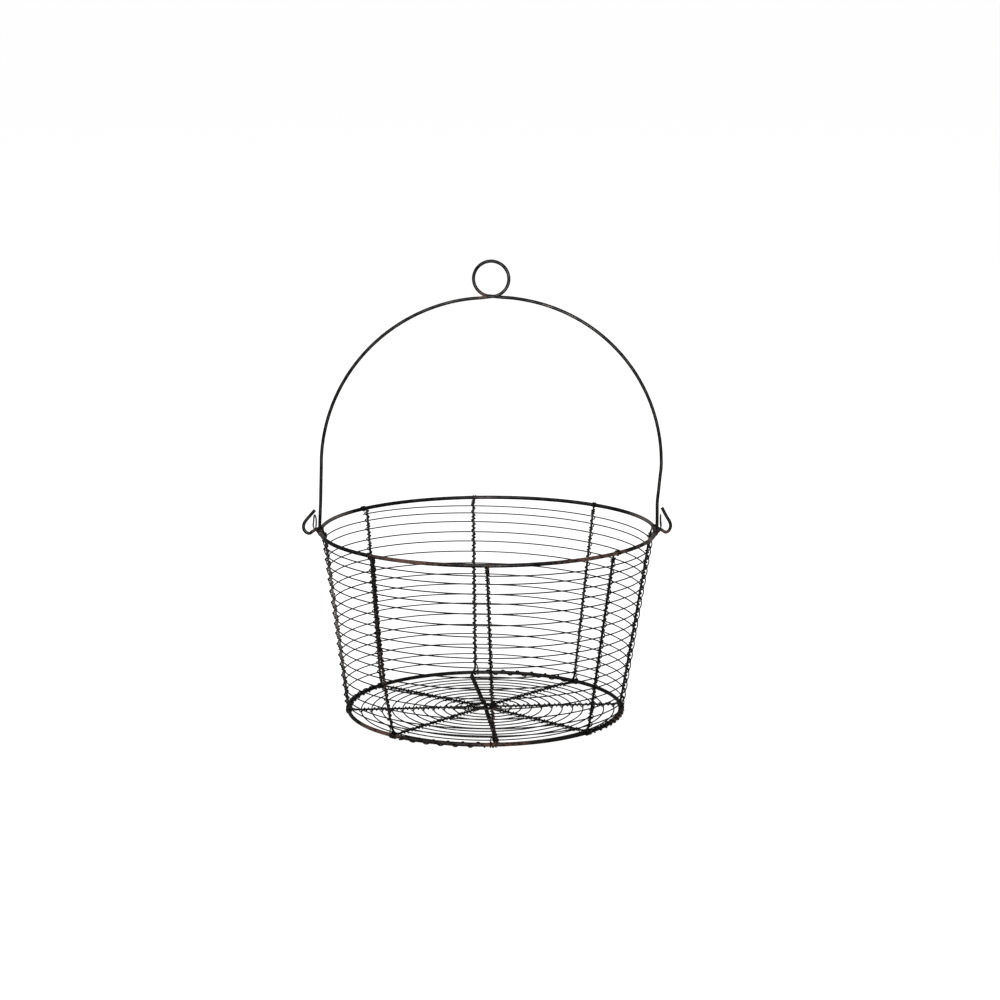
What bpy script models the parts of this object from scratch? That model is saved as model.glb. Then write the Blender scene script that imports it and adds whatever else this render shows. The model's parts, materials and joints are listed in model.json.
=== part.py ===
# Onion basket of blackened iron wire: a rim and a base ring, four staves bent to a U that carry
# the wall and the floor, one wire wound down the wall, one wound across the floor, thin lashings
# that tie each crossing, and a bail with a hang loop that swings in two ears on the rim.
# Metres, Z up. The origin is on the floor under the middle of the rim, and X runs to the right.

import math

import bpy
from mathutils import Vector

# The rings, to the middle of their wire. The floor ring sits a little left of the rim.
rimRadius = 0.1384
baseRadius = 0.11415
wallHeight = 0.15185
baseShift = -0.0026

# Wire diameters
ringWire = 0.0032
staveWire = 0.0014
windingWire = 0.0009
lashWire = 0.0009
earWire = 0.0013
bailWire = 0.0027

clearance = 0.0003

# Staves: where each rib meets the rim and the base ring, in degrees counter-clockwise from +X
ribNames = ("right", "back_right", "back", "back_left", "left", "front_left", "front", "front_right")
headAngles = (3, 48.5, 95.5, 140, 180.3, 227.7, 269.6, 316.7)
footAngles = (4, 47.4, 94.4, 142.2, 185, 229.6, 273.4, 317.3)
# Which way along the rim each rib's end is wound
headWinds = (1, -1, -1, 1, -1, -1, 1, 1)
# Opposite ribs that are one wire, from the lowest at the hub to the highest
stavePairs = ((0, 4), (1, 5), (3, 7), (2, 6))
staveBend = 0.007
headTurns = 1.25
# The lowest stave dips under the others at the hub by this many wires
hubSink = 1
hubInner = 0.0035
hubOuter = 0.011

# The wire wound down the wall: its height at the start angle after each turn
sideStartAngle = 141.5
sideTurns = 16.885
sideLean = 0.0028
sideLeanAngle = 30
sideHeightShares = (
    0.964, 0.925, 0.877, 0.819, 0.767, 0.710, 0.643, 0.582, 0.523,
    0.465, 0.414, 0.354, 0.292, 0.241, 0.180, 0.125, 0.072, 0.038,
)

# The wire wound across the floor, from its eye near the hub to its last turn inside the ring,
# where it ends floorTail degrees past a spoke
floorStartAngle = 4
floorTurns = 11
floorTail = 1.5
floorEye = 0.01295
floorEdge = 0.00605
floorFineRadius = 0.075

# Lashings: how far a turn stands off the stave over the crossing, beside it and behind it
lashOver = 0.0032
lashSide = 0.0019
lashUnder = 0.0017
lashDip = 0.0002
lashReach = 0.0027
lashFrom = 0.019
# Under the floor they lie flatter, so that the basket stands on its ring
lashFlatOver = 0.0026
lashFlatReach = 0.0007

# Lashings round the base ring: first angle, last angle and turns of each
ringLashings = {
    "base_lashing_front": (233, 270, 6),
    "base_lashing_right": (321, 360, 9),
    "base_lashing_back": (52, 91, 6),
    "base_lashing_left": (145, 181, 7),
}

# Ears on the rim, which hold the bail in the plane that lies bailOffset in front of the middle
bailOffset = 0.010
earHalfWidth = 0.00465
earHeight = 0.0143
earPitch = 0.0017
earTurns = 1.25
earTwists = {"left": 16, "right": 5}
earTailBend = 0.0048
earTailEnd = 0.0011
earPlay = 0.0001
earFlare = 0.0025

# The bail: a round arch on two legs, a hang loop on top and a hook below each ear
bailSpread = 0.0011
bailShift = 0.0027
bailSpring = 0.055
legKnee = 0.0218
seatOuts = {"left": 0.0008, "right": 0.0013}
kneeOuts = {"left": -0.0003, "right": 0.0013}
legBend = 0.002
# Degrees up either side of the arch where the hang loop takes over
archEnd = 84
loopRadius = 0.0143
loopHeight = 0.2096
loopBlend = 0.030
hookReaches = {"left": 0.0133, "right": 0.0112}
hookRises = {"left": 0.0152, "right": 0.0171}
# Outward from the leg as a share of the reach, and up from the hinge as a share of the rise
hookShares = {
    "left": (
        (0.20, -0.05), (0.37, -0.13), (0.48, -0.19), (0.61, -0.275), (0.80, -0.24),
        (0.96, -0.08), (1.00, 0.11), (0.92, 0.33), (0.77, 0.51), (0.28, 1.00),
    ),
    "right": (
        (0.22, -0.055), (0.37, -0.10), (0.48, -0.155), (0.62, -0.20), (0.82, -0.16),
        (0.955, -0.03), (1.00, 0.14), (0.92, 0.32), (0.70, 0.565), (0.35, 1.00),
    ),
}

# Sides of the wires, and the corners that their curves are drawn with
ringSides = 8
bailSides = 8
staveSides = 6
earSides = 6
windingSides = 4
lashSides = 3
ringStep = 9
sideStep = 16
wrapCorners = 8
ringLashCorners = 5
floorOuterSteps = 3
floorInnerSteps = 2
loopSteps = 16
archSteps = 9
bendSteps = 3
earArcSteps = 6
hookSteps = 2

# Rounds in which a place that depends on itself settles
settleRounds = 4

ironMetallic = 0.85

up = Vector((0, 0, 1))
floorLift = ringWire / 2 + clearance + lashWire
rimLevel = floorLift + wallHeight


def polar(radius, degrees, height, centre=0.0):
    angle = math.radians(degrees)
    return Vector((centre + radius * math.cos(angle), radius * math.sin(angle), height))


def wrapRadius(wire, corners):
    # Corners stand out so that the straight stretches between them keep the clearance.
    return (ringWire / 2 + clearance + wire / 2) / math.cos(math.pi / corners)


headRadius = rimRadius - wrapRadius(staveWire, wrapCorners)


def staveCorner():
    # The sharp corner of a stave, seen from the base ring's middle, and the lean of the wall.
    lean = 0.0
    for attempt in range(settleRounds):
        half = (math.pi / 2 + lean) / 2
        bisector = math.pi - half
        reach = ringWire / 2 + clearance + staveWire / 2 - staveBend * (1 / math.sin(half) - 1)
        radius = baseRadius + reach * math.cos(bisector)
        height = reach * math.sin(bisector)
        lean = math.atan2(headRadius - radius, wallHeight - height)
    return radius, height, lean


cornerRadius, cornerHeight, wallLean = staveCorner()
spokeLevel = floorLift + cornerHeight
windingOutset = staveWire / 2 + clearance + windingWire / 2
feet = [polar(cornerRadius, angle, spokeLevel, baseShift) for angle in footAngles]
heads = [polar(headRadius, angle, rimLevel) for angle in headAngles]

rimAtBail = math.sqrt(rimRadius ** 2 - bailOffset ** 2)
earAngle = math.degrees(math.asin(bailOffset / rimRadius))
earAngles = {"left": 180 + earAngle, "right": 360 - earAngle}
sideSigns = {"left": -1, "right": 1}
hingeLevel = rimLevel + ringWire / 2 + clearance + bailWire / 2
sideSag = rimRadius * (1 - math.cos(math.radians(sideStep / 2)))


def cornerAngles(anchors, largestStep):
    # Angles of a ring's corners: one at each anchor, and the bays between divided evenly.
    ordered = sorted(angle % 360 for angle in anchors)
    angles = []
    for first, second in zip(ordered, ordered[1:] + [ordered[0] + 360]):
        steps = math.ceil((second - first) / largestStep)
        angles += [first + (second - first) * step / steps for step in range(steps)]
    return angles


def ringShape(anchors, radius, height, centre=0.0):
    angles = cornerAngles(anchors, ringStep)
    points = [polar(radius, angle, height, centre) for angle in angles]
    return {"angles": angles, "points": points, "radius": radius}


def ringPoint(ring, degrees):
    # The point of the ring's wire, straight stretches included, at this angle.
    angles = ring["angles"] + [ring["angles"][0] + 360]
    points = ring["points"] + [ring["points"][0]]
    degrees = (degrees - angles[0]) % 360 + angles[0]
    index = max(place for place, angle in enumerate(angles[:-1]) if angle <= degrees)
    share = (degrees - angles[index]) / (angles[index + 1] - angles[index])
    return points[index].lerp(points[index + 1], share)


def woundRound(ring, degrees, coilRadius, start, stepAngle, steps, shift):
    # Corners of a wire wound round a ring: start and stepAngle turn round the ring's wire,
    # with 0 outside and 90 on top, and each step moves the wire on by shift along the ring.
    points = []
    for step in range(steps + 1):
        around = math.radians(start + stepAngle * step)
        along = degrees + math.degrees(shift * step / ring["radius"])
        outward = polar(coilRadius * math.cos(around), along, 0)
        points.append(ringPoint(ring, along) + outward + up * (coilRadius * math.sin(around)))
    return points


def rounded(before, corner, after, radius, steps):
    # The corner replaced by an arc that is tangent to both straight stretches.
    toBefore = (before - corner).normalized()
    toAfter = (after - corner).normalized()
    half = toBefore.angle(toAfter) / 2
    centre = corner + (toBefore + toAfter).normalized() * (radius / math.sin(half))
    first = (corner + toBefore * (radius / math.tan(half)) - centre).normalized()
    second = (corner + toAfter * (radius / math.tan(half)) - centre).normalized()
    return [centre + first.slerp(second, step / steps) * radius for step in range(steps + 1)]


def smoothed(points, steps):
    # A smooth curve through the points, as corners.
    ends = [2 * points[0] - points[1], *points, 2 * points[-1] - points[-2]]
    corners = []
    for a, b, c, d in zip(ends, ends[1:], ends[2:], ends[3:]):
        for step in range(steps):
            t = step / steps
            corners.append(
                b + ((c - a) * t + (2 * a - 5 * b + 4 * c - d) * t ** 2
                     + (3 * b - a - 3 * c + d) * t ** 3) / 2
            )
    return corners + [points[-1]]


def placeIn(collection, obj):
    collection.objects.link(obj)
    return obj


def ironMaterial(name, colour, roughness):
    material = bpy.data.materials.new(name)
    material.use_nodes = True
    shader = material.node_tree.nodes["Principled BSDF"]
    shader.inputs["Base Color"].default_value = (*colour, 1)
    shader.inputs["Metallic"].default_value = ironMetallic
    shader.inputs["Roughness"].default_value = roughness
    material.diffuse_color = (*colour, 1)
    return material


def addWire(name, points, diameter, material, sides, closed=False, tilt=0.0):
    # The lashings' three sides come from a guide triangle, and an even count from the bevel itself.
    curve = bpy.data.curves.new(name, "CURVE")
    curve.dimensions = "3D"
    spline = curve.splines.new("POLY")
    spline.points.add(len(points) - 1)
    for corner, point in zip(spline.points, points):
        corner.co = (*point, 1)
        corner.tilt = tilt
    spline.use_cyclic_u = closed
    spline.use_smooth = True
    curve.use_fill_caps = not closed
    if sides == lashSides:
        curve.bevel_mode = "OBJECT"
        curve.bevel_object = lashSection
    else:
        curve.bevel_depth = diameter / 2
        curve.bevel_resolution = sides // 2 - 2
    curve.materials.append(material)
    return placeIn(partCollection, bpy.data.objects.new(name, curve))


def addSection(name, diameter):
    # A triangle that the lashings' wire follows.
    curve = bpy.data.curves.new(name, "CURVE")
    curve.dimensions = "2D"
    spline = curve.splines.new("POLY")
    spline.points.add(lashSides - 1)
    for index, corner in enumerate(spline.points):
        corner.co = (*polar(diameter / 2, -360 * index / lashSides, 0), 1)
    spline.use_cyclic_u = True
    section = placeIn(guideCollection, bpy.data.objects.new(name, curve))
    section.hide_render = True
    section.display_type = "WIRE"
    return section


def sideHeight(turn, degrees):
    # Height of the wall's wire over the base ring. The turns lean to one side.
    step = min(int(turn), len(sideHeightShares) - 2)
    first, second = sideHeightShares[step], sideHeightShares[step + 1]
    lean = math.cos(math.radians(degrees - sideLeanAngle))
    level = math.cos(math.radians(sideStartAngle - sideLeanAngle))
    return wallHeight * (first + (second - first) * (turn - step)) - sideLean * (lean - level)


def wallShare(height):
    return (height - cornerHeight) / (wallHeight - cornerHeight)


def ribAngle(rib, height):
    share = wallShare(height)
    point = feet[rib].lerp(heads[rib], share)
    return math.degrees(math.atan2(point.y, point.x - baseShift * (1 - share)))


def sideCrossings(rib):
    # Where the wall's wire crosses a rib: its turn there and its height over the base ring.
    headTurn = (sideStartAngle - headAngles[rib]) % 360 / 360
    crossings = []
    for lap in range(int(sideTurns) + 1):
        degrees = headAngles[rib]
        for attempt in range(settleRounds):
            drift = (degrees - headAngles[rib] + 180) % 360 - 180
            turn = lap + headTurn - drift / 360
            height = sideHeight(turn, degrees)
            degrees = ribAngle(rib, height)
        if turn <= sideTurns:
            crossings.append((turn, height))
    return crossings


def sideRadius(height):
    # The wall's wire lies on the ribs.
    share = wallShare(height)
    return cornerRadius + (headRadius - cornerRadius) * share + windingOutset / math.cos(wallLean)


def sideWirePoint(turn):
    degrees = sideStartAngle - 360 * turn
    height = sideHeight(turn, degrees)
    centre = baseShift * (1 - wallShare(height))
    return polar(sideRadius(height), degrees, floorLift + height, centre)


def sideWirePoints(crossings):
    # A corner on each rib, so that the straight stretches clear the ribs, and some in each bay.
    turns = sorted(turn for rib in crossings for turn, height in rib)
    turns = [0.0] + turns + [sideTurns]
    points = []
    for first, second in zip(turns, turns[1:]):
        steps = math.ceil((second - first) * 360 / sideStep)
        points += [sideWirePoint(first + (second - first) * step / steps) for step in range(steps)]
    return points + [sideWirePoint(sideTurns)]


def floorRadius(turn):
    edge = baseRadius - floorEdge
    return floorEye + (edge - floorEye) * turn / floorTurns


def floorCrossings(rib):
    # Radii at which the floor's wire passes under a spoke, from the ring inwards.
    first = (footAngles[rib] - floorStartAngle) % 360 / 360
    radii = [floorRadius(first + lap) for lap in range(floorTurns + 1) if first + lap <= floorTurns]
    return [radius for radius in reversed(radii) if radius > lashFrom]


def floorWirePoint(turn):
    degrees = floorStartAngle + 360 * turn
    return polar(floorRadius(turn), degrees, spokeLevel - windingOutset, baseShift)


def floorWirePoints():
    # A corner under each spoke and some between, more of them where the turns are wide.
    turns = [lap + (angle - floorStartAngle) / 360 for lap in range(floorTurns) for angle in footAngles]
    turns.append(floorTurns)
    points = []
    for first, second in zip(turns, turns[1:]):
        steps = floorOuterSteps if floorRadius(first) > floorFineRadius else floorInnerSteps
        points += [floorWirePoint(first + (second - first) * step / steps) for step in range(steps)]
    return points + [floorWirePoint(floorTurns), floorWirePoint(floorTurns + floorTail / 360)]


def lashPoints(crossings, along, side, over, flat=False):
    # One turn round the stave and the wire that it ties at each crossing. along runs from
    # crossing to crossing, side to the left of it and over to where the tied wire lies.
    points = []
    for index, crossing in enumerate(crossings):
        if flat:
            points.append(crossing + over * lashFlatOver - (along + side) * lashFlatReach)
            points.append(crossing + over * lashFlatOver + (along + side) * lashFlatReach)
        else:
            points.append(crossing + over * lashOver)
        points.append(crossing + along * lashReach + side * lashSide - over * lashDip)
        if index < len(crossings) - 1:
            after = crossings[index + 1]
            points.append(crossing.lerp(after, 0.5) - over * lashUnder)
            points.append(after - along * lashReach - side * lashSide - over * lashDip)
    return points


def stavePoints(first, second, level):
    # From one rim winding down the rib, round the corner, over the hub and up the other rib.
    halves = []
    for rib in (first, second):
        shift = headWinds[rib] * (staveWire + clearance) / wrapCorners
        winding = woundRound(
            rimRing, headAngles[rib], wrapRadius(staveWire, wrapCorners), 180, -360 / wrapCorners,
            int(headTurns * wrapCorners), shift,
        )
        inner = polar(hubInner, footAngles[rib], spokeLevel, baseShift)
        outer = polar(hubOuter, footAngles[rib], spokeLevel, baseShift)
        bend = rounded(heads[rib], feet[rib], outer, staveBend, bendSteps)
        raised = inner + up * (level * (staveWire + clearance))
        halves.append(winding[::-1] + bend + [outer, raised])
    return halves[0] + halves[1][::-1]


def ringLashPoints(first, last, turns):
    steps = turns * ringLashCorners
    shift = math.radians(last - first) * baseRadius / steps
    turnStep = 360 / ringLashCorners
    coil = wrapRadius(lashWire, ringLashCorners)
    return woundRound(baseRing, first, coil, turnStep / 2 - 90, -turnStep, steps, shift)


def earPoints(hand):
    # Both legs are wound round the rim and end behind the wall's first turn.
    sign = sideSigns[hand]
    twist = math.radians(earTwists[hand])
    coil = wrapRadius(earWire, wrapCorners)
    inboard = rimAtBail + seatOuts[hand] + bailWire / 2 + clearance + earWire / 2 + earPlay
    middle = Vector((sign * (inboard + earHalfWidth * math.sin(twist)), -bailOffset, rimLevel))
    across = Vector((sign * math.sin(twist), math.cos(twist), 0)) * earHalfWidth
    halves = []
    for way in (-1, 1):
        footY = -bailOffset + way * earHalfWidth
        degrees = math.degrees(math.atan2(footY, sign * math.sqrt(rimRadius ** 2 - footY ** 2)))
        shift = sign * way * earPitch / wrapCorners
        winding = woundRound(
            rimRing, degrees, coil, 0, -360 / wrapCorners, int(earTurns * wrapCorners), shift,
        )
        last = degrees + math.degrees(shift * earTurns * wrapCorners / rimRadius)
        turn = (sideStartAngle - last) % 360 / 360
        height = sideHeight(turn, last) - earTailEnd
        inside = sideRadius(height) - sideSag - windingWire / 2 - clearance - earWire / 2
        tail = polar(inside, last, floorLift + height)
        tailBend = polar(inside, last, rimLevel - earTailBend)
        strand = middle + across * way
        flare = Vector((strand.x, strand.y, rimLevel + earFlare))
        halves.append([tail, tailBend] + winding[::-1] + [flare])
    crown = up * (earHeight - earHalfWidth)
    arc = []
    for step in range(earArcSteps + 1):
        angle = math.pi * step / earArcSteps
        arc.append(middle + crown - across * math.cos(angle) + up * (earHalfWidth * math.sin(angle)))
    return halves[0] + arc + halves[1][::-1]


def hookPoints(hand, seat):
    sign = sideSigns[hand]
    points = [seat]
    for outShare, riseShare in hookShares[hand]:
        out = outShare * hookReaches[hand]
        points.append(seat + Vector((sign * out, 0, riseShare * hookRises[hand])))
    return smoothed(points, hookSteps)


def archPoint(degrees):
    # The arch stands on the rim's width and steps aside in front of or behind the loop's foot.
    point = Vector((bailShift, 0, rimLevel + bailSpring))
    angle = math.radians(degrees)
    radius = rimRadius + bailSpread
    point += Vector((radius * math.cos(angle), 0, radius * math.sin(angle)))
    nearness = max(0.0, 1 - abs(point.x - bailShift) / loopBlend)
    aside = (bailWire + clearance) / 2 * math.sin(nearness * math.pi / 2)
    return point + Vector((0, math.copysign(aside, point.x - bailShift) - bailOffset, 0))


def bailHalf(hand):
    # From the tip of the hook to the last point of the arch before the hang loop.
    sign = sideSigns[hand]
    seat = Vector((sign * (rimAtBail + seatOuts[hand]), -bailOffset, hingeLevel))
    hook = hookPoints(hand, seat)
    knee = Vector((sign * (rimAtBail + kneeOuts[hand]), -bailOffset, hingeLevel + legKnee))
    bend = rounded(hook[1], seat, knee, legBend, bendSteps)
    start = 180 if sign < 0 else 0
    arch = [archPoint(start + sign * archEnd * step / archSteps) for step in range(archSteps + 1)]
    return hook[:0:-1] + bend + [knee] + arch


def loopPoints():
    # Once round, up on the right and down on the left, from front to back.
    aside = (bailWire + clearance) / 2
    points = []
    for step in range(loopSteps + 1):
        angle = 2 * math.pi * step / loopSteps
        points.append(Vector((
            bailShift + loopRadius * math.sin(angle),
            -bailOffset - aside * math.cos(angle / 2),
            rimLevel + loopHeight - loopRadius * math.cos(angle),
        )))
    return points


def leastGap(points, diameter, turns):
    # The least distance between stretches of one wire that lie over half a turn apart.
    apart = math.ceil(len(points) / turns / 2)
    least = math.inf
    for index, point in enumerate(points):
        for other in points[index + apart:]:
            least = min(least, (point - other).length)
    return least - diameter


for old in list(bpy.data.objects):
    bpy.data.objects.remove(old)
partCollection = bpy.data.collections.new("Onion basket")
guideCollection = bpy.data.collections.new("Guides")
bpy.context.scene.collection.children.link(partCollection)
bpy.context.scene.collection.children.link(guideCollection)
lashSection = addSection("lash_section", lashWire)

rimIron = ironMaterial("rim iron, rusty in front", (0.050, 0.040, 0.037), 0.50)
baseIron = ironMaterial("base ring iron", (0.040, 0.034, 0.032), 0.52)
staveIron = ironMaterial("stave iron", (0.032, 0.030, 0.029), 0.48)
sideIron = ironMaterial("wall winding iron", (0.045, 0.044, 0.042), 0.45)
floorIron = ironMaterial("floor winding iron", (0.042, 0.041, 0.040), 0.47)
lashIron = ironMaterial("lashing iron", (0.028, 0.027, 0.026), 0.50)
earIron = ironMaterial("ear iron", (0.030, 0.027, 0.026), 0.46)
bailIron = ironMaterial("bail iron", (0.024, 0.023, 0.023), 0.40)

rimRing = ringShape([*headAngles, *earAngles.values()], rimRadius, rimLevel)
baseRing = ringShape(footAngles, baseRadius, floorLift, baseShift)
flatDown = math.pi / ringSides
addWire("rim_ring", rimRing["points"], ringWire, rimIron, ringSides, closed=True, tilt=flatDown)
addWire("base_ring", baseRing["points"], ringWire, baseIron, ringSides, closed=True, tilt=flatDown)

for level, (first, second) in enumerate(stavePairs):
    name = f"stave_{ribNames[first]}_to_{ribNames[second]}"
    addWire(name, stavePoints(first, second, level - hubSink), staveWire, staveIron, staveSides)

crossings = [sideCrossings(rib) for rib in range(len(ribNames))]
sideWire = sideWirePoints(crossings)
addWire("side_wire", sideWire, windingWire, sideIron, windingSides)
print("least gap of the wall's wire to itself:", leastGap(sideWire, windingWire, sideTurns))

floorWire = floorWirePoints()
addWire("floor_wire", floorWire, windingWire, floorIron, windingSides)
print("least gap of the floor's wire to itself:", leastGap(floorWire, windingWire, floorTurns))

for rib, place in enumerate(ribNames):
    rise = (heads[rib] - feet[rib]).normalized()
    leftward = polar(1, footAngles[rib] - 90, 0)
    outward = rise.cross(leftward).normalized()
    ties = [feet[rib].lerp(heads[rib], wallShare(height)) for turn, height in crossings[rib]]
    wound = lashPoints(ties, -rise, leftward, outward)
    addWire(f"side_lashing_{place}", wound, lashWire, lashIron, lashSides)

    inward = polar(-1, footAngles[rib], 0)
    ties = [polar(radius, footAngles[rib], spokeLevel, baseShift) for radius in floorCrossings(rib)]
    wound = lashPoints(ties, inward, leftward, -up, flat=True)
    addWire(f"floor_lashing_{place}", wound, lashWire, lashIron, lashSides)

for name, (first, last, turns) in ringLashings.items():
    addWire(name, ringLashPoints(first, last, turns), lashWire, lashIron, lashSides)

for hand in ("left", "right"):
    addWire(f"{hand}_ear", earPoints(hand), earWire, earIron, earSides)

hinge = Vector((0, -bailOffset, hingeLevel))
bail = bailHalf("left") + loopPoints() + bailHalf("right")[::-1]
handle = addWire("handle", [point - hinge for point in bail], bailWire, bailIron, bailSides)
handle.location = hinge
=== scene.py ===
import json
import math

import bpy
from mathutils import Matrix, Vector, noise


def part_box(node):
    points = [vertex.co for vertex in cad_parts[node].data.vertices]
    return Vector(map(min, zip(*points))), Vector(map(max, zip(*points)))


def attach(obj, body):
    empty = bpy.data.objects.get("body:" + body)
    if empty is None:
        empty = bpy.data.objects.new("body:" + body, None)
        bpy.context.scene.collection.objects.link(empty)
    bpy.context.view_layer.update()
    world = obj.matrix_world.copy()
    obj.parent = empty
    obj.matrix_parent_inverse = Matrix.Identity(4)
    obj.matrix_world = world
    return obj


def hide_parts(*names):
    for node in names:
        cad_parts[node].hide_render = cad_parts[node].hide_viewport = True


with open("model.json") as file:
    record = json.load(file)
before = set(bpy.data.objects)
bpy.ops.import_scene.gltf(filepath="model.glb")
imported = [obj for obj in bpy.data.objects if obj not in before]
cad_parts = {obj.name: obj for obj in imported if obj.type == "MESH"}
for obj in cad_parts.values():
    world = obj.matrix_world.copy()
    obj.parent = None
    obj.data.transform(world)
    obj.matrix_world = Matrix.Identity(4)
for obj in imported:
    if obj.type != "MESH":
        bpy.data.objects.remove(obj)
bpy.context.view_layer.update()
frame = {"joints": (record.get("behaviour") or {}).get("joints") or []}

# Onion basket of blackened iron wire. Every wire of the frame is drawn again here, round and fine,
# on the same route. Metres, Z up, and X runs to the right.

up = Vector((0, 0, 1))
hinge = Vector(frame["joints"][0]["pos_m"])
rimLow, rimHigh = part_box("rim_ring")
baseLow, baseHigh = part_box("base_ring")
rimLevel = (rimLow.z + rimHigh.z) / 2
baseLevel = (baseLow.z + baseHigh.z) / 2
print("frame loaded, rim at", round(rimLevel, 5), "base at", round(baseLevel, 5))


def colour(hexText):
    # sRGB hex to linear
    parts = [int(hexText[i:i + 2], 16) / 255 for i in (1, 3, 5)]
    return (*(p / 12.92 if p < 0.04045 else ((p + 0.055) / 1.055) ** 2.4 for p in parts), 1)


def addNode(tree, kind, settings=None, links=None):
    node = tree.nodes.new(kind)
    for key, value in (settings or {}).items():
        if isinstance(key, str) and hasattr(node, key):
            setattr(node, key, value)
        else:
            node.inputs[key].default_value = value
    for key, source in (links or {}).items():
        tree.links.new(source, node.inputs[key])
    return node


# Drawn iron wire, blackened in the fire. To the eye it is a near black oxide with a soft grey line
# of shine down each wire, a greyer film in blotches, a painted grey highlight in places where light
# catches the wire, with faint grey flecks of wear, and dull brown rust where it was handled. Sizes
# are in metres, and places are (centre, radius, strength).
ironLooks = {
    "rim": {
        "oxide": "#0b0a0a", "film": "#1c1a1a", "sheenGrey": "#625e5c",
        "rust": "#211513", "rustPale": "#352622",
        "roughness": 0.29, "bare": 0.88,
        "blotch": 0.007, "grain": 0.0005, "pit": 0.00004,
        "rusty": [
            ((-0.0645, -0.1225, 0.155), 0.055, 0.42), ((0.087, -0.1076, 0.155), 0.060, 0.42),
            ((-0.137, -0.012, 0.155), 0.022, 0.26), ((0.132, -0.050, 0.155), 0.030, 0.30),
        ],
        # Painted highlight along the rim's left and right ends, where they catch the light
        "sheenAndWear": [
            ((-0.130, 0.030, 0.155), 0.055, 0.85), ((0.130, 0.030, 0.155), 0.050, 0.75),
            ((-0.136, -0.025, 0.155), 0.022, 0.60), ((0.134, -0.033, 0.155), 0.030, 0.60),
        ],
    },
    "base_ring": {
        "oxide": "#0a0909", "film": "#1b1918", "sheenGrey": "#5c5755",
        "rust": "#241512", "rustPale": "#38251f",
        "roughness": 0.32, "bare": 0.86,
        "blotch": 0.006, "grain": 0.0005, "pit": 0.00005,
        "rusty": [((-0.088, -0.072, 0.003), 0.045, 0.37), ((0.010, -0.114, 0.003), 0.032, 0.34)],
        "sheenAndWear": [],
    },
    "staves": {
        "oxide": "#0a0909", "film": "#191716", "sheenGrey": "#55504e",
        "rust": "#261815", "rustPale": "#3a2a24",
        "roughness": 0.32, "bare": 0.87,
        "blotch": 0.005, "grain": 0.0004, "pit": 0.00003,
        "rusty": [
            ((0, -0.139, 0.155), 0.010, 0.40), ((0, -0.114, 0.005), 0.080, 0.18),
            ((-0.090, -0.080, 0.060), 0.070, 0.22),
        ],
        # Painted highlight on the ribs at the left, where they catch the light
        "sheenAndWear": [((-0.125, -0.020, 0.080), 0.090, 0.38)],
    },
    "side_winding": {
        "oxide": "#090808", "film": "#191717", "sheenGrey": "#3d3b3b",
        "rust": "#201715", "rustPale": "#2f2624",
        "roughness": 0.31, "bare": 0.90,
        "blotch": 0.009, "grain": 0.0003, "pit": 0.00002,
        "rusty": [],
        # Painted highlight: the back of the wall's winding is made lighter than the front
        "sheenAndWear": [((0, 0.130, 0.130), 0.150, 0.30)],
    },
    "floor_winding": {
        "oxide": "#0b0a0a", "film": "#1d1c1b", "sheenGrey": "#4d4a48",
        "rust": "#241916", "rustPale": "#342a26",
        "roughness": 0.32, "bare": 0.88,
        "blotch": 0.009, "grain": 0.0003, "pit": 0.00002,
        "rusty": [],
        "sheenAndWear": [],
    },
    "lashings": {
        "oxide": "#090808", "film": "#171615", "sheenGrey": "#55504e",
        "rust": "#221512", "rustPale": "#33241f",
        "roughness": 0.34, "bare": 0.86,
        "blotch": 0.004, "grain": 0.0003, "pit": 0.00002,
        "rusty": [
            ((0, -0.120, 0.004), 0.080, 0.28), ((0.108, -0.035, 0.003), 0.040, 0.38),
            ((-0.090, -0.080, 0.060), 0.070, 0.24),
        ],
        # Painted highlight on the lashings of the left and right ribs, where they catch the light
        "sheenAndWear": [((-0.125, -0.020, 0.080), 0.090, 0.36), ((0.128, -0.040, 0.090), 0.060, 0.40)],
    },
    "ears": {
        "oxide": "#0a0908", "film": "#1a1817", "sheenGrey": "#55504e",
        "rust": "#231816", "rustPale": "#352825",
        "roughness": 0.31, "bare": 0.86,
        "blotch": 0.003, "grain": 0.0004, "pit": 0.00003,
        "rusty": [((0.143, -0.010, 0.166), 0.008, 0.25)],
        "sheenAndWear": [],
    },
    "bail": {
        "oxide": "#0a0a0a", "film": "#1a1918", "sheenGrey": "#5f5a58",
        "rust": "#1f1513", "rustPale": "#352824",
        "roughness": 0.26, "bare": 0.90,
        "blotch": 0.008, "grain": 0.0005, "pit": 0.00003,
        "rusty": [
            ((-0.143, -0.010, 0.154), 0.007, 0.44), ((0.147, -0.010, 0.154), 0.010, 0.46),
            ((-0.004, -0.010, 0.351), 0.008, 0.40),
        ],
        "sheenAndWear": [],
    },
}
# What all the wires' finishes share: how fine the clouds are, how soft patches of rust and of
# painted highlight end, and how rust dulls the metal
ironSkin = {
    "cloudDetail": 4,
    "cloudRoughness": 0.6,
    "flecksPerBlotch": 6,
    "patchCoreShare": 0.3,
    "patchEdges": {"rusty": (0.72, 0.96), "sheenAndWear": (0.15, 0.75)},
    "rustMetallic": 0.25,
    "rustRoughness": 0.72,
    "pitStrength": 0.6,
    "edgeTint": "#1c1b1a",
}


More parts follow.
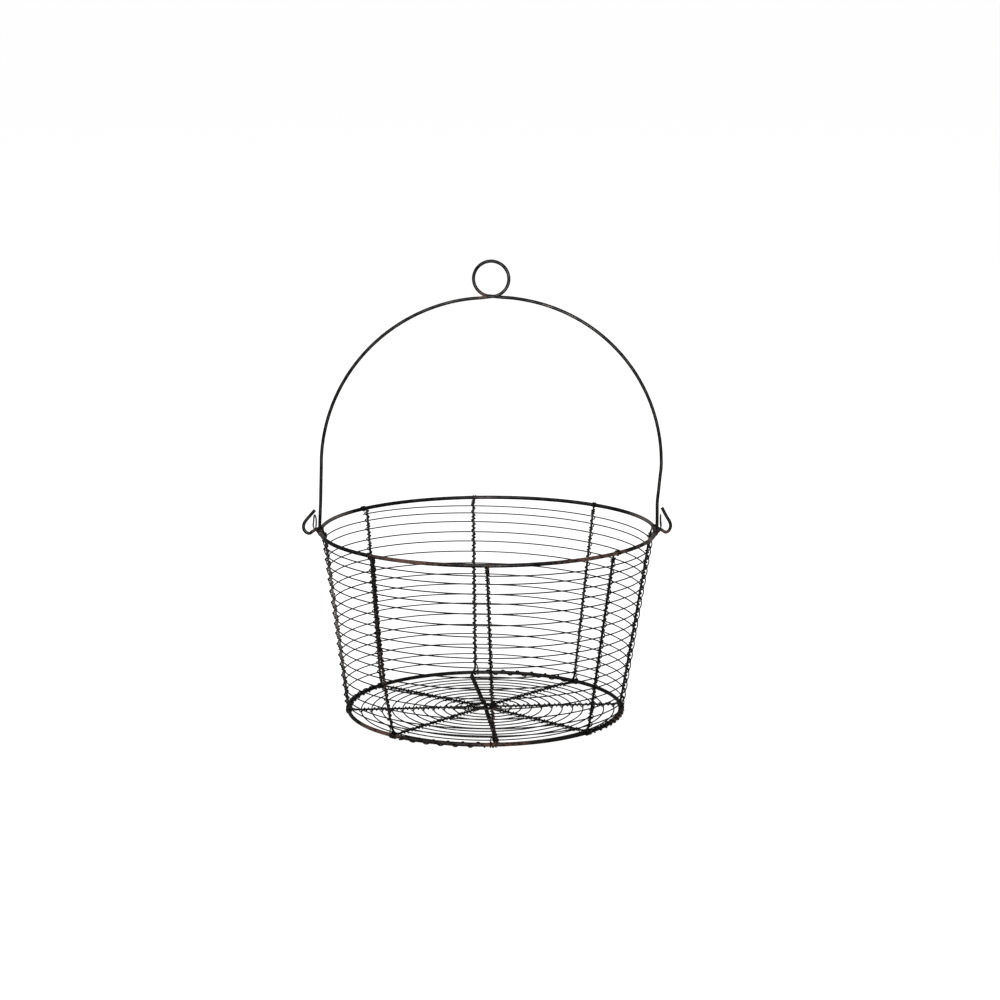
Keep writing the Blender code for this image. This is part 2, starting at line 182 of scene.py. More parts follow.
def blackenedIron(name):
    look = ironLooks[name]
    material = bpy.data.materials.new("blackened iron, " + name)
    material.use_nodes = True
    tree = material.node_tree
    shader = tree.nodes["Principled BSDF"]
    place = addNode(tree, "ShaderNodeTexCoord").outputs["Object"]

    sizes = {
        "blotch": look["blotch"],
        "fleck": look["blotch"] / ironSkin["flecksPerBlotch"],
        "grain": look["grain"],
    }
    clouds = {}
    for key, size in sizes.items():
        settings = {"Scale": 1 / size, "Detail": ironSkin["cloudDetail"]}
        settings["Roughness"] = ironSkin["cloudRoughness"]
        clouds[key] = addNode(tree, "ShaderNodeTexNoise", settings, {"Vector": place}).outputs["Fac"]

    # What each cloud is used for: its range, and the range it becomes
    uses = {
        "film": ("blotch", 0.38, 0.64, 0.0, 1.0), "stir": ("fleck", 0.2, 0.8, -0.16, 0.16),
        "pale": ("fleck", 0.35, 0.65, 0.0, 1.0), "wear": ("fleck", 0.3, 0.7, -0.04, 0.06),
    }
    shares = {}
    for key, (cloud, low, high, least, most) in uses.items():
        settings = {"From Min": low, "From Max": high, "To Min": least, "To Max": most}
        spread = addNode(tree, "ShaderNodeMapRange", settings, {"Value": clouds[cloud]})
        shares[key] = spread.outputs["Result"]

    # The rust mask, and the painted highlight mask: faint flecks of wear, raised to a painted grey
    # sheen in the listed places
    links = {0: clouds["blotch"], 1: shares["stir"]}
    shown = {
        "rusty": addNode(tree, "ShaderNodeMath", {"operation": "ADD"}, links).outputs[0],
        "sheenAndWear": shares["stir"],
    }
    for key in shown:
        for centre, radius, strength in look[key]:
            settings = {"operation": "DISTANCE", 1: centre}
            away = addNode(tree, "ShaderNodeVectorMath", settings, {0: place}).outputs["Value"]
            settings = {"From Min": radius * ironSkin["patchCoreShare"], "From Max": radius}
            settings.update({"To Min": strength, "To Max": 0.0})
            near = addNode(tree, "ShaderNodeMapRange", settings, {"Value": away}).outputs["Result"]
            links = {0: shown[key], 1: near}
            shown[key] = addNode(tree, "ShaderNodeMath", {"operation": "ADD"}, links).outputs[0]
        low, high = ironSkin["patchEdges"][key]
        settings = {"From Min": low, "From Max": high}
        patch = addNode(tree, "ShaderNodeMapRange", settings, {"Value": shown[key]})
        shown[key] = patch.outputs["Result"]
    rust, sheenAndWear = shown["rusty"], shown["sheenAndWear"]

    # Colours from the skin's first layer to its last. 6, 7 and 2 are the colour sockets of a mix.
    settings = {"data_type": "RGBA", 6: colour(look["oxide"]), 7: colour(look["film"])}
    skin = addNode(tree, "ShaderNodeMix", settings, {0: shares["film"]}).outputs[2]
    # Painted highlight: the sheen grey is laid over the skin where the painted highlight mask is
    # high
    settings = {"data_type": "RGBA", 7: colour(look["sheenGrey"])}
    skin = addNode(tree, "ShaderNodeMix", settings, {0: sheenAndWear, 6: skin}).outputs[2]
    settings = {"data_type": "RGBA", 6: colour(look["rust"]), 7: colour(look["rustPale"])}
    brown = addNode(tree, "ShaderNodeMix", settings, {0: shares["pale"]}).outputs[2]
    links = {0: rust, 6: skin, 7: brown}
    skin = addNode(tree, "ShaderNodeMix", {"data_type": "RGBA"}, links).outputs[2]

    settings = {"To Min": look["bare"], "To Max": ironSkin["rustMetallic"]}
    metal = addNode(tree, "ShaderNodeMapRange", settings, {"Value": rust}).outputs["Result"]
    settings = {"To Min": look["roughness"], "To Max": ironSkin["rustRoughness"]}
    dull = addNode(tree, "ShaderNodeMapRange", settings, {"Value": rust}).outputs["Result"]
    links = {0: dull, 1: shares["wear"]}
    worn = addNode(tree, "ShaderNodeMath", {"operation": "ADD"}, links).outputs[0]
    settings = {"Strength": ironSkin["pitStrength"], "Distance": look["pit"]}
    pitted = addNode(tree, "ShaderNodeBump", settings, {"Height": clouds["grain"]}).outputs["Normal"]
    shader.inputs["Specular Tint"].default_value = colour(ironSkin["edgeTint"])
    finish = {"Base Color": skin, "Metallic": metal, "Roughness": worn, "Normal": pitted}
    for key, source in finish.items():
        tree.links.new(source, shader.inputs[key])
    return material


irons = {slot: blackenedIron(slot) for slot in ironLooks}
print("finishes made:", len(irons))

# How far wires that touch lie apart, and how often a place that depends on itself is worked out
seat = 0.00005
rounds = 4


def polar(radius, degrees, level, centre=0.0):
    angle = math.radians(degrees)
    return Vector((centre + radius * math.cos(angle), radius * math.sin(angle), level))


def bendWire(node, route, wire, slot, closed=False, soft=0, sides=4, body="basket", widths=None):
    # A round wire along the route. With soft, the route holds knots and the wire bends smoothly.
    # Widths are shares of the wire, one for each place of the route.
    curve = bpy.data.curves.new(node, "CURVE")
    curve.dimensions = "3D"
    curve.bevel_depth = wire / 2
    curve.bevel_resolution = sides
    curve.use_fill_caps = not closed
    if soft:
        curve.resolution_u = soft
    spline = curve.splines.new("BEZIER" if soft else "POLY")
    knots = spline.bezier_points if soft else spline.points
    knots.add(len(route) - 1)
    for knot, place, width in zip(knots, route, widths or [1.0] * len(route)):
        knot.co = place if soft else (*place, 1)
        knot.radius = width
        if soft:
            knot.handle_left_type = "AUTO"
            knot.handle_right_type = "AUTO"
    spline.use_cyclic_u = closed
    spline.use_smooth = True
    curve.materials.append(irons[slot])
    piece = bpy.data.objects.new(node + "_drawn", curve)
    bpy.context.scene.collection.objects.link(piece)
    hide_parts(node)
    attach(piece, body)


# The two heavy rings. The base ring sits a little left of the rim.
rings = {
    "rim": {"radius": 0.1384, "level": rimLevel, "centre": 0.0},
    "base": {"radius": 0.11415, "level": baseLevel, "centre": -0.0026},
    "wire": 0.0032,
    "step": 2.5,
    "turnStep": 15,
}
rim, base = rings["rim"], rings["base"]


def ringRoute(ring):
    angles = [rings["step"] * i for i in range(int(360 / rings["step"]))]
    return [polar(ring["radius"], angle, ring["level"], ring["centre"]) for angle in angles]


def onRing(ring, wire, around, along):
    # Where a wire that lies on a ring has its middle: around in degrees round the ring's wire, with
    # 0 outside and 90 on top, and along in degrees round the ring
    coil = rings["wire"] / 2 + seat + wire / 2
    angle = math.radians(around)
    level = ring["level"] + coil * math.sin(angle)
    return polar(ring["radius"] + coil * math.cos(angle), along, level, ring["centre"])


def woundRound(ring, degrees, wire, start, sweep, shift):
    # Turns of a wire round a ring's wire, from start through sweep degrees. Shift is how far the
    # whole winding moves along the ring.
    steps = math.ceil(abs(sweep) / rings["turnStep"])
    route = []
    for i in range(steps + 1):
        along = degrees + math.degrees(shift * i / steps / ring["radius"])
        route.append(onRing(ring, wire, start + sweep * i / steps, along))
    return route


bendWire("rim_ring", ringRoute(rim), rings["wire"], "rim", closed=True, sides=6)
bendWire("base_ring", ringRoute(base), rings["wire"], "base_ring", closed=True, sides=6)
print("rings drawn")

# The staves: four wires, each two opposite ribs and the spokes between them. Widths are shares of
# the wire, and hubDrop is how many wires the lowest crossing at the hub lies below the spokes.
staves = {
    "wire": 0.0020,
    "ribs": (
        "right", "back_right", "back", "back_left", "left", "front_left", "front", "front_right",
    ),
    "heads": (3, 47.8, 95.5, 140, 180.3, 227.7, 269.6, 317.5),
    "feet": (4, 47.4, 94.4, 142.2, 185, 229.6, 273.4, 317.3),
    "winds": (1, 1, -1, 1, -1, -1, 1, 1),
    "bows": (0, 0, 0, 0, 0, 0.0038, 0, 0),
    "bowPower": 0.75,
    "drifts": (0, 0, 2.1, 0, 0, 0, 2.0, 0),
    "driftEnd": 0.0065,
    "pairs": ((0, 4), (1, 5), (3, 7), (2, 6)),
    "headTurns": 1.6,
    "headPitch": 0.0020,
    "headWidth": 0.43,
    "spokeWidth": 0.8,
    "wallShares": (0.97, 0.9, 0.8, 0.7, 0.6, 0.5, 0.4, 0.3, 0.2, 0.1),
    "bend": 0.007,
    "bendSteps": 10,
    "hubInner": 0.0035,
    "hubOuter": 0.011,
    "hubDrop": 0.85,
}
spokeWire = staves["wire"] * staves["spokeWidth"]
wallHeight = rim["level"] - base["level"]
staveOutset = rings["wire"] / 2 + seat + staves["wire"] / 2
headRadius = rim["radius"] - staveOutset


def staveCorner():
    # Where rib and spoke would meet if the bend were sharp, and the lean of the wall
    lean = 0.0
    for attempt in range(rounds):
        half = (math.pi / 2 + lean) / 2
        reach = staveOutset - staves["bend"] * (1 / math.sin(half) - 1)
        radius = base["radius"] - reach * math.cos(half)
        height = reach * math.sin(half)
        lean = math.atan2(headRadius - radius, wallHeight - height)
    return radius, height, lean


cornerRadius, cornerHeight, wallLean = staveCorner()
spokeLevel = base["level"] + cornerHeight
feet = [polar(cornerRadius, angle, spokeLevel, base["centre"]) for angle in staves["feet"]]
heads = [polar(headRadius, angle, rim["level"]) for angle in staves["heads"]]


def ribPlace(rib, share):
    # A place on a rib between foot and head. One rib bows sideways, most in its lower half.
    bow = staves["bows"][rib] * math.sin(math.pi * share ** staves["bowPower"])
    return feet[rib].lerp(heads[rib], share) + polar(bow, staves["feet"][rib] - 90, 0)


def roundedCorner(before, corner, after, radius, steps):
    toBefore = (before - corner).normalized()
    toAfter = (after - corner).normalized()
    half = toBefore.angle(toAfter) / 2
    centre = corner + (toBefore + toAfter).normalized() * (radius / math.sin(half))
    first = (corner + toBefore * (radius / math.tan(half)) - centre).normalized()
    second = (corner + toAfter * (radius / math.tan(half)) - centre).normalized()
    return [centre + first.slerp(second, i / steps) * radius for i in range(steps + 1)]


def spokePlace(rib, radius):
    # The four spokes' wires cross one above the other at the hub. Two spokes lie a little beside
    # their ribs.
    level = next(i for i, pair in enumerate(staves["pairs"]) if rib in pair) - staves["hubDrop"]
    rise = max(0.0, staves["hubOuter"] - radius) / (staves["hubOuter"] - staves["hubInner"])
    height = spokeLevel + level * (spokeWire + seat) * rise
    drift = staves["drifts"][rib] * min((cornerRadius - radius) / staves["driftEnd"], 1.0)
    return polar(radius, staves["feet"][rib] + drift, height, base["centre"])


def staveRoute(first, second):
    # The route, and the wire's width along it: pressed thinner where it is wound on the rim, and
    # drawn thinner towards the hub
    halves, widths = [], []
    for rib in (first, second):
        sweep = -360 * staves["headTurns"]
        shift = staves["winds"][rib] * staves["headPitch"] * staves["headTurns"]
        wire = staves["wire"] * staves["headWidth"]
        winding = woundRound(rim, staves["heads"][rib], wire, 180, sweep, shift)
        wall = [ribPlace(rib, share) for share in staves["wallShares"]]
        floorRadii = (cornerRadius - staves["driftEnd"], staves["hubOuter"], staves["hubInner"])
        spoke = [spokePlace(rib, radius) for radius in floorRadii]
        bend = roundedCorner(wall[-1], feet[rib], spoke[0], staves["bend"], staves["bendSteps"])
        halves.append(winding[::-1] + wall + bend + spoke)
        shares = [staves["headWidth"]] * len(winding) + [1.0] * len(wall + bend)
        widths.append(shares + [staves["spokeWidth"]] * len(spoke))
    return halves[0] + halves[1][::-1], widths[0] + widths[1][::-1]


for first, second in staves["pairs"]:
    node = f"stave_{staves['ribs'][first]}_to_{staves['ribs'][second]}"
    route, widths = staveRoute(first, second)
    bendWire(node, route, staves["wire"], "staves", widths=widths)
print("staves drawn")

# The two thin windings. The wall's heights are shares of the wall, one for each turn, because the
# turns were spaced by eye.
windings = {
    "wire": 0.00105,
    "sideStart": 141.5,
    "sideTurns": 16.885,
    "sideLean": 0.0028,
    "sideLeanAngle": 30,
    "backRise": 0.0014,
    "sideHeightShares": (
        0.964, 0.925, 0.877, 0.819, 0.767, 0.710, 0.643, 0.582, 0.523,
        0.465, 0.414, 0.354, 0.292, 0.241, 0.180, 0.125, 0.072, 0.038,
    ),
    "floorStart": 4,
    "floorTurns": 11,
    "floorTail": 1.5,
    "floorEye": 0.01295,
    "floorEdge": 0.00605,
    "step": 3,
}
windingOutset = staves["wire"] / 2 + seat + windings["wire"] / 2
spokeOutset = spokeWire / 2 + seat + windings["wire"] / 2


def sideHeight(turn, degrees):
    shares = windings["sideHeightShares"]
    step = min(int(turn), len(shares) - 2)
    lean = math.cos(math.radians(degrees - windings["sideLeanAngle"]))
    level = math.cos(math.radians(windings["sideStart"] - windings["sideLeanAngle"]))
    height = shares[step] + (shares[step + 1] - shares[step]) * (turn - step)
    rise = windings["backRise"] * height * (1 + math.sin(math.radians(degrees))) / 2
    return wallHeight * height - windings["sideLean"] * (lean - level) + rise


def wallShare(height):
    return (height - cornerHeight) / (wallHeight - cornerHeight)


def sideRadius(height):
    outset = windingOutset / math.cos(wallLean)
    return cornerRadius + (headRadius - cornerRadius) * wallShare(height) + outset


def sidePoint(turn):
    degrees = windings["sideStart"] - 360 * turn
    height = sideHeight(turn, degrees)
    centre = base["centre"] * (1 - wallShare(height))
    return polar(sideRadius(height), degrees, base["level"] + height, centre)


def floorPoint(turn):
    edge = base["radius"] - windings["floorEdge"]
    radius = windings["floorEye"] + (edge - windings["floorEye"]) * turn / windings["floorTurns"]
    degrees = windings["floorStart"] + 360 * turn
    return polar(radius, degrees, spokeLevel - spokeOutset, base["centre"])


def windingRoute(pointAt, turns):
    steps = math.ceil(turns * 360 / windings["step"])
    return [pointAt(turns * i / steps) for i in range(steps + 1)]


sideRoute = windingRoute(sidePoint, windings["sideTurns"])
bendWire("side_wire", sideRoute, windings["wire"], "side_winding")
floorRoute = windingRoute(floorPoint, windings["floorTurns"] + windings["floorTail"] / 360)
bendWire("floor_wire", floorRoute, windings["wire"], "floor_winding")
print("windings drawn")

# The lashings. At each crossing the thin wire comes over the winding, goes down beside the stave
# and behind it, and comes up on the other side for the next. The knots near and beside a crossing
# are (along, side, over). On the spokes wire and reach are smaller, by shares.
lashings = {
    "wire": 0.0010,
    "spokeWidth": 0.8,
    "spokeReach": 0.88,
    "over": 0.00256,
    "near": (0.0010, 0.00112, 0.00196),
    "beside": (0.0021, 0.00162, 0.0001),
    "coil": 0.00156,
    "pitch": 0.0016,
    "uneven": 0.35,
    "spokeSeed": 20,
    "leastRoom": 0.0030,
    "headRoom": 0.0045,
    "leastTurns": 0.75,
    "mostTurns": 2.5,
    "endShare": 0.4,
    "loosest": 0.0022,
    "innermost": 0.0125,
    "hubEnd": 0.0052,
    "hubPitch": 0.0021,
}
# The end of each wall lashing on the base ring: degrees round the ring's wire, with 0 outside and
# 90 on top, and how far beside the rib
footKnots = (
    (45, -0.0027), (0, -0.0026), (-90, -0.0024), (-180, -0.0022), (-270, -0.00175), (-360, -0.0013),
    (-450, -0.0002), (-540, 0.00125), (-630, 0.0014), (-720, 0.0016), (-810, 0.0021), (-900, 0.0023),
)


def sideCrossings(rib):
    # Where the wall's wire crosses a rib, as shares of the rib
    head = staves["heads"][rib]
    shares = []
    for lap in range(int(windings["sideTurns"]) + 1):
        degrees = head
        for attempt in range(rounds):
            drift = (degrees - head + 180) % 360 - 180
            turn = lap + (windings["sideStart"] - head) % 360 / 360 - drift / 360
            share = wallShare(sideHeight(turn, degrees))
            place = ribPlace(rib, share)
            degrees = math.degrees(math.atan2(place.y, place.x - base["centre"] * (1 - share)))
        if turn <= windings["sideTurns"]:
            shares.append(share)
    return shares


def floorCrossings(rib):
    first = (staves["feet"][rib] - windings["floorStart"]) % 360 / 360
    radii = []
    for lap in range(windings["floorTurns"] + 1):
        if first + lap <= windings["floorTurns"]:
            offCentre = floorPoint(first + lap) - Vector((base["centre"], 0, 0))
            radii.append(math.hypot(offCentre.x, offCentre.y))
    return [radius for radius in reversed(radii) if radius > lashings["innermost"]]


def roundStave(side, over, degrees):
    # The way out from the middle of a stave, with 0 over it and 90 to its side
    angle = math.radians(degrees)
    return side * math.sin(angle) + over * math.cos(angle)


def lashRoute(crossings, along, side, over, seed, tight=1.0):
    # The reach differs a little from tie to tie, as a hand leaves it. Between two ties the wire
    # goes a quarter round the stave, and once more round it where there is room. Tight is a share
    # of the reach. The numbers in a noise only pick the place where it is read.
    near = [reach * tight for reach in lashings["near"]]
    beside = [reach * tight for reach in lashings["beside"]]
    route = []
    last = None
    for i, crossing in enumerate(crossings):
        reach = beside[0] * (1 + lashings["uneven"] * noise.noise((i * 1.7, seed * 3.1, 0.5)))
        if last:
            room = crossing - along * reach - last
            quarters = 5 if room.length > lashings["leastRoom"] else 1
            for quarter in range(quarters):
                outwards = roundStave(side, over, 180 + 90 * quarter)
                middle = last + room * (quarter + 1) / (quarters + 1)
                route.append(middle + outwards * lashings["coil"] * tight)
        last = crossing + along * reach
        route += [
            crossing - along * reach - side * beside[1] + over * beside[2],
            crossing - along * near[0] - side * near[1] + over * near[2],
            crossing + over * lashings["over"] * tight,
            crossing + along * near[0] + side * near[1] + over * near[2],
            crossing + along * reach + side * beside[1] + over * beside[2],
        ]
    return route


def coilKnots(place, along, side, over, first, count, pitch):
    # Quarter turns round a stave, from first degrees
    knots = []
    for i in range(count + 1):
        outwards = roundStave(side, over, first + 90 * i)
        knots.append(place + along * pitch * i / 4 + outwards * lashings["coil"])
    return knots


def headTurns(rib, crossing, along, side, over):
    # Turns round the bare rib above the first crossing, as many as there is room for. The end
    # stands out a little.
    room = (heads[rib] - crossing).length - lashings["headRoom"]
    turns = min(max(room / lashings["pitch"], lashings["leastTurns"]), lashings["mostTurns"])
    count = math.floor(turns * 4)
    place = crossing - along * (lashings["beside"][0] + lashings["pitch"] * (count + 1) / 4)
    knots = coilKnots(place, along, side, over, 180 - 90 * count, count, lashings["pitch"])
    loose = abs(noise.noise((rib * 2.3, 0.7, 4.1))) * lashings["loosest"]
    end = knots[0] + (knots[0] - place) * lashings["endShare"]
    return [end + (knots[0] - knots[1]).normalized() * loose] + knots


def footTurns(rib):
    knots = []
    for around, beside in footKnots:
        along = staves["feet"][rib] + math.degrees(beside / base["radius"])
        knots.append(onRing(base, lashings["wire"], around, along))
    return knots


def hubTurns(rib, radius, along, side, over):
    # On past the innermost crossing, round the bare spoke to the hub
    first = radius - lashings["beside"][0] * lashings["spokeReach"]
    count = math.ceil((first - lashings["hubEnd"]) / lashings["hubPitch"] * 4)
    knots = []
    for i in range(1, count + 1):
        outwards = roundStave(side, over, 90 + 90 * i)
        place = spokePlace(rib, first - (first - lashings["hubEnd"]) * i / count)
        knots.append(place + outwards * lashings["coil"] * lashings["spokeReach"])
    return knots


for rib, name in enumerate(staves["ribs"]):
    rise = (heads[rib] - feet[rib]).normalized()
    leftward = polar(1, staves["feet"][rib] - 90, 0)
    outward = rise.cross(leftward).normalized()
    ties = [ribPlace(rib, share) for share in sideCrossings(rib)]
    route = headTurns(rib, ties[0], -rise, leftward, outward)
    route += lashRoute(ties, -rise, leftward, outward, rib) + footTurns(rib)
    bendWire(f"side_lashing_{name}", route, lashings["wire"], "lashings", soft=4, sides=3)

    inward = polar(-1, staves["feet"][rib], 0)
    radii = floorCrossings(rib)
    ties = [spokePlace(rib, radius) for radius in radii]
    seed = rib + lashings["spokeSeed"]
    route = lashRoute(ties, inward, leftward, -up, seed, lashings["spokeReach"])
    route += hubTurns(rib, radii[-1], inward, leftward, -up)
    wire = lashings["wire"] * lashings["spokeWidth"]
    bendWire(f"floor_lashing_{name}", route, wire, "lashings", soft=4, sides=3)

# Lashings round the base ring: first angle, last angle and turns. Each starts below the outside of
# the ring's wire.
ringLashings = {
    "front": (233, 270, 6),
    "right": (321, 360, 9),
    "back": (52, 91, 6),
    "left": (145, 181, 7),
}
ringLashingStart = -54
for place, (first, last, turns) in ringLashings.items():
    shift = math.radians(last - first) * base["radius"]
    route = woundRound(base, first, lashings["wire"], ringLashingStart, -360 * turns, shift)
    bendWire(f"base_lashing_{place}", route, lashings["wire"], "lashings", sides=3)
print("lashings drawn")

# The ears on the rim and the bail that hangs in them. Outs are how far seats and knees lie outside
# the rim's middle, and a hook's shares are of its reach and rise.
bail = {
    "wire": 0.0027,
    "clearance": 0.0003,
    "spread": 0.0011,
    "shift": 0.0027,
    "spring": 0.055,
    "knee": 0.0218,
    "seatOuts": {"left": 0.0008, "right": 0.0013},
    "kneeOuts": {"left": -0.0003, "right": 0.0013},
    "bend": 0.002,
    "bendSteps": 4,
    "legShares": (0.15, 0.5),
    "footShares": (0, 0.35, 0.7),
    "archEnd": 87,
    "archSteps": 29,
    "rightBulge": 0.0013,
    "loopRadius": 0.0143,
    "loopHeight": 0.2096,
    "loopBlend": 0.030,
    "loopSteps": 24,
    "hookReaches": {"left": 0.01326, "right": 0.01116},
    "hookRises": {"left": 0.0152, "right": 0.0171},
    "hookShares": {
        "left": (
            (0.20, -0.05), (0.37, -0.13), (0.48, -0.19), (0.61, -0.275), (0.80, -0.24),
            (0.96, -0.08), (1.00, 0.11), (0.92, 0.33), (0.77, 0.51), (0.28, 1.00),
        ),
        "right": (
            (0.22, -0.055), (0.37, -0.10), (0.48, -0.155), (0.62, -0.20), (0.82, -0.16),
            (0.955, -0.03), (1.00, 0.14), (0.92, 0.32), (0.70, 0.565), (0.35, 1.00),
        ),
    },
}
ears = {
    "wire": 0.0013,
    "halfWidth": 0.00465,
    "height": 0.0143,
    "arcSteps": 8,
    "pitch": 0.0014,
    "turns": 1.25,
    "windWidth": 0.55,
    "twists": {"left": 16, "right": 5},
    "tailBend": 0.0048,
    "tailEnd": 0.0011,
    "play": 0.0001,
    "flare": 0.0025,
}
signs = {"left": -1, "right": 1}
rimAtBail = math.sqrt(rim["radius"] ** 2 - hinge.y ** 2)
crossingAside = (bail["wire"] + bail["clearance"]) / 2


def earRoute(hand):
    # A U that stands on the rim. Its legs are wound round the rim and end inside the wall's wire.
    sign = signs[hand]
    twist = math.radians(ears["twists"][hand])
    inboard = rimAtBail + bail["seatOuts"][hand] + (bail["wire"] + ears["wire"]) / 2
    inboard += bail["clearance"] + ears["play"]
    middle = Vector((sign * (inboard + ears["halfWidth"] * math.sin(twist)), hinge.y, rim["level"]))
    across = Vector((sign * math.sin(twist), math.cos(twist), 0)) * ears["halfWidth"]
    halves = []
    for way in (-1, 1):
        footY = hinge.y + way * ears["halfWidth"]
        degrees = math.degrees(math.atan2(footY, sign * math.sqrt(rim["radius"] ** 2 - footY ** 2)))
        shift = sign * way * ears["pitch"] * ears["turns"]
        wire = ears["wire"] * ears["windWidth"]
        # Every second place is enough for a wire that bends smoothly between its knots
        winding = woundRound(rim, degrees, wire, 0, -360 * ears["turns"], shift)[::2]
        last = degrees + math.degrees(shift / rim["radius"])
        turn = (windings["sideStart"] - last) % 360 / 360
        height = sideHeight(turn, last) - ears["tailEnd"]
        inside = sideRadius(height) - (windings["wire"] + ears["wire"]) / 2 - bail["clearance"]
        tail = polar(inside, last, base["level"] + height)
        tailBend = polar(inside, last, rim["level"] - ears["tailBend"])
        strand = middle + across * way
        flare = Vector((strand.x, strand.y, rim["level"] + ears["flare"]))
        halves.append([tail, tailBend] + winding[::-1] + [flare])
    crown = up * (ears["height"] - ears["halfWidth"])
    arc = []
    for i in range(ears["arcSteps"] + 1):
        angle = math.pi * i / ears["arcSteps"]
        rise = up * ears["halfWidth"] * math.sin(angle)
        arc.append(middle + crown - across * math.cos(angle) + rise)
    # Tail and winding are pressed thinner, up to the last place before the leg
    shares = [ears["windWidth"]] * (len(winding) + 1) + [1.0, 1.0]
    widths = shares + [1.0] * len(arc) + shares[::-1]
    return halves[0] + arc + halves[1][::-1], widths


def archPoint(degrees):
    # The arch steps aside in front of or behind the hang loop's foot
    angle = math.radians(degrees)
    radius = rim["radius"] + bail["spread"] + max(0, math.sin(2 * angle)) * bail["rightBulge"]
    out = radius * math.cos(angle)
    nearness = max(0.0, 1 - abs(out) / bail["loopBlend"])
    aside = crossingAside * math.sin(nearness * math.pi / 2)
    level = rim["level"] + bail["spring"] + radius * math.sin(angle)
    return Vector((bail["shift"] + out, hinge.y + math.copysign(aside, out), level))


def bailHalf(hand):
    # The hook's tip first, then the bend under the ear, the leg and the arch up to the loop
    sign = signs[hand]
    seatPlace = Vector((sign * (rimAtBail + bail["seatOuts"][hand]), hinge.y, hinge.z))
    reach, rise = bail["hookReaches"][hand], bail["hookRises"][hand]
    shares = bail["hookShares"][hand]
    hook = [seatPlace + Vector((sign * out * reach, 0, high * rise)) for out, high in shares]
    knee = Vector((sign * (rimAtBail + bail["kneeOuts"][hand]), hinge.y, hinge.z + bail["knee"]))
    bend = roundedCorner(hook[0], seatPlace, knee, bail["bend"], bail["bendSteps"])
    start = 180 if sign < 0 else 0
    steps = bail["archSteps"]
    arch = [archPoint(start + sign * bail["archEnd"] * i / steps) for i in range(steps + 1)]
    leg = [bend[-1].lerp(knee, share) for share in bail["legShares"]]
    foot = [knee.lerp(arch[0], share) for share in bail["footShares"]]
    return hook[::-1] + bend + leg + foot + arch


def loopRoute():
    # Once round, up on the right and down on the left, from front to back
    route = []
    for i in range(bail["loopSteps"] + 1):
        angle = 2 * math.pi * i / bail["loopSteps"]
        across = bail["shift"] + bail["loopRadius"] * math.sin(angle)
        level = rim["level"] + bail["loopHeight"] - bail["loopRadius"] * math.cos(angle)
        route.append(Vector((across, hinge.y - crossingAside * math.cos(angle / 2), level)))
    return route


for hand in ("left", "right"):
    route, widths = earRoute(hand)
    bendWire(f"{hand}_ear", route, ears["wire"], "ears", soft=5, widths=widths)
route = bailHalf("left") + loopRoute() + bailHalf("right")[::-1]
bendWire("handle", route, bail["wire"], "bail", soft=6, sides=6, body="handle")
print("ears and bail drawn")

# A pale floor and a white world that stay white to the camera and in reflections. The floor keeps a
# soft shadow, and fill is the light that the world gives. The soft boxes shine at aim.
studio = {
    "floor": "#f8f8f7",
    "floorRoughness": 0.9,
    "floorSize": 80,
    "floorGlow": 0.86,
    "fill": 1.0,
    "aim": (0, 0, 0.15),
}


def seenRays(tree):
    # 1 for what the camera sees itself, in metal or through glass
    rays = addNode(tree, "ShaderNodeLightPath").outputs
    settings = {"operation": "MAXIMUM"}
    links = {0: rays["Is Camera Ray"], 1: rays["Is Glossy Ray"]}
    either = addNode(tree, "ShaderNodeMath", settings, links).outputs[0]
    links = {0: either, 1: rays["Is Transmission Ray"]}
    return addNode(tree, "ShaderNodeMath", settings, links).outputs[0]


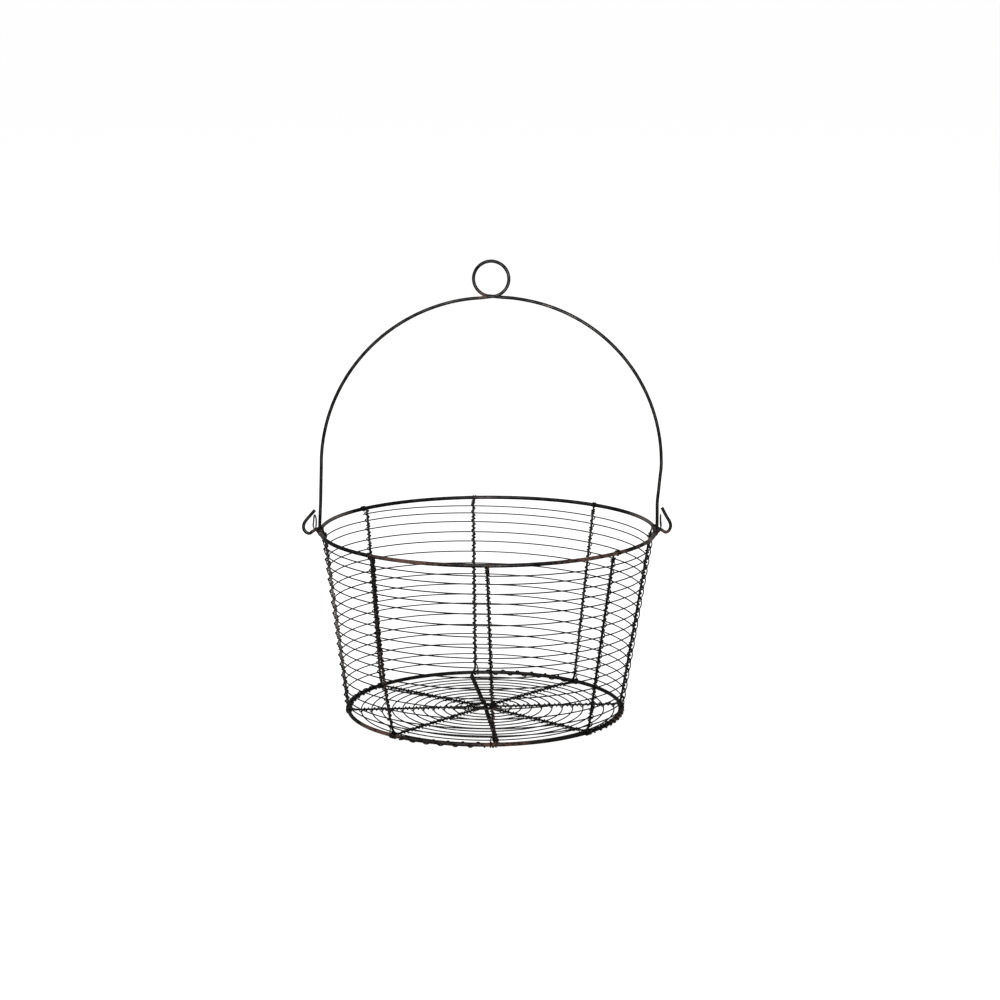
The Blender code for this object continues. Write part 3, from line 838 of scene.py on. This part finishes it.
def paperFloor():
    material = bpy.data.materials.new("white paper")
    material.use_nodes = True
    tree = material.node_tree
    shader = tree.nodes["Principled BSDF"]
    shader.inputs["Base Color"].default_value = colour(studio["floor"])
    shader.inputs["Roughness"].default_value = studio["floorRoughness"]
    shader.inputs["Specular IOR Level"].default_value = 0.0
    glow = addNode(tree, "ShaderNodeEmission", {"Strength": 1.0}).outputs[0]
    settings = {"operation": "MULTIPLY", 1: studio["floorGlow"]}
    share = addNode(tree, "ShaderNodeMath", settings, {0: seenRays(tree)}).outputs[0]
    mix = addNode(tree, "ShaderNodeMixShader", None, {0: share, 1: shader.outputs[0], 2: glow})
    tree.links.new(mix.outputs[0], tree.nodes["Material Output"].inputs["Surface"])
    return material


bpy.ops.mesh.primitive_plane_add(size=studio["floorSize"])
floor = bpy.context.active_object
floor.name = "floor"
floor.data.materials.append(paperFloor())

world = bpy.data.worlds.new("white studio")
bpy.context.scene.world = world
world.use_nodes = True
tree = world.node_tree
fill = tree.nodes["Background"]
fill.inputs["Color"].default_value = (1, 1, 1, 1)
fill.inputs["Strength"].default_value = studio["fill"]
white = addNode(tree, "ShaderNodeBackground", {"Color": (1, 1, 1, 1), "Strength": 1.0}).outputs[0]
mix = addNode(tree, "ShaderNodeMixShader", None, {0: seenRays(tree), 1: fill.outputs[0], 2: white})
tree.links.new(mix.outputs[0], tree.nodes["World Output"].inputs["Surface"])

# Soft boxes: place, size and power
softBoxes = {
    "front box": ((-0.7, -2.0, 1.9), 1.2, 110),
    "low box": ((0.25, -2.7, 0.35), 0.4, 150),
    "left box": ((-2.0, -0.3, 1.4), 1.2, 45),
    "top box": ((0.3, 0.3, 2.4), 1.4, 50),
}
for name, (place, size, power) in softBoxes.items():
    lamp = bpy.data.lights.new(name, "AREA")
    lamp.size = size
    lamp.energy = power
    box = bpy.data.objects.new(name, lamp)
    box.location = place
    towards = Vector(studio["aim"]) - box.location
    box.rotation_euler = towards.to_track_quat("-Z", "Y").to_euler()
    bpy.context.scene.collection.objects.link(box)

# The photograph's camera: a long lens, a little above the rim
view = {
    "place": (0, -2.26073, 0.62645),
    "tilt": 78.8184,
    "turn": -0.251,
    "lens": 100.377,
    "sensor": 36,
}
camera = bpy.data.cameras.new("camera")
camera.lens = view["lens"]
camera.sensor_width = view["sensor"]
cameraObject = bpy.data.objects.new("camera", camera)
cameraObject.location = view["place"]
cameraObject.rotation_euler = (math.radians(view["tilt"]), 0, math.radians(view["turn"]))
bpy.context.scene.collection.objects.link(cameraObject)
bpy.context.scene.camera = cameraObject
bpy.context.scene.view_settings.view_transform = "Standard"
print("studio set")

bpy.context.view_layer.update()
